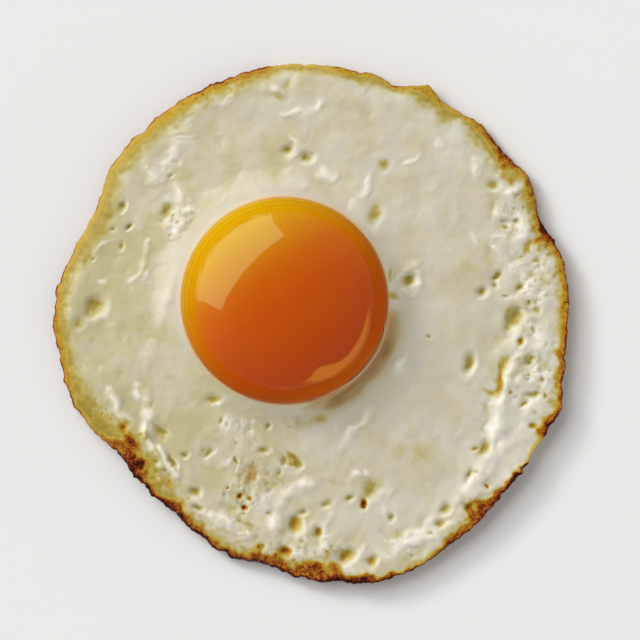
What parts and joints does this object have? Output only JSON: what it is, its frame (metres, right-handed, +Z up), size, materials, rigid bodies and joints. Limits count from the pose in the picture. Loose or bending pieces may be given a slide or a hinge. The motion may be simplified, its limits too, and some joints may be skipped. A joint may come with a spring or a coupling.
{
  "type": "fried egg",
  "caption": "Sunny-side-up fried egg: a flat set white with a lifted, browned rim and puffed bands, and a soft domed yolk seated in it.",
  "frame": {"origin": "on the flat underside, below the middle of the egg's outline seen from above", "axes": "+Z up out of the pan, through the egg's thickness; +X and +Y lie in the underside, and the yolk is 5.4 mm towards -X and 4.7 mm towards +Y"},
  "size_m": [0.106, 0.107, 0.016],
  "materials": {
    "egg_white": "set egg white fried in oil: wet gloss, slightly translucent, golden to dark brown at the rim",
    "egg_yolk": "runny yolk under its thin skin: deep orange, translucent, mirror-wet gloss"
  },
  "bodies": {
    "root": {"white": "egg_white", "yolk": "egg_yolk"}
  },
  "joints": []
}
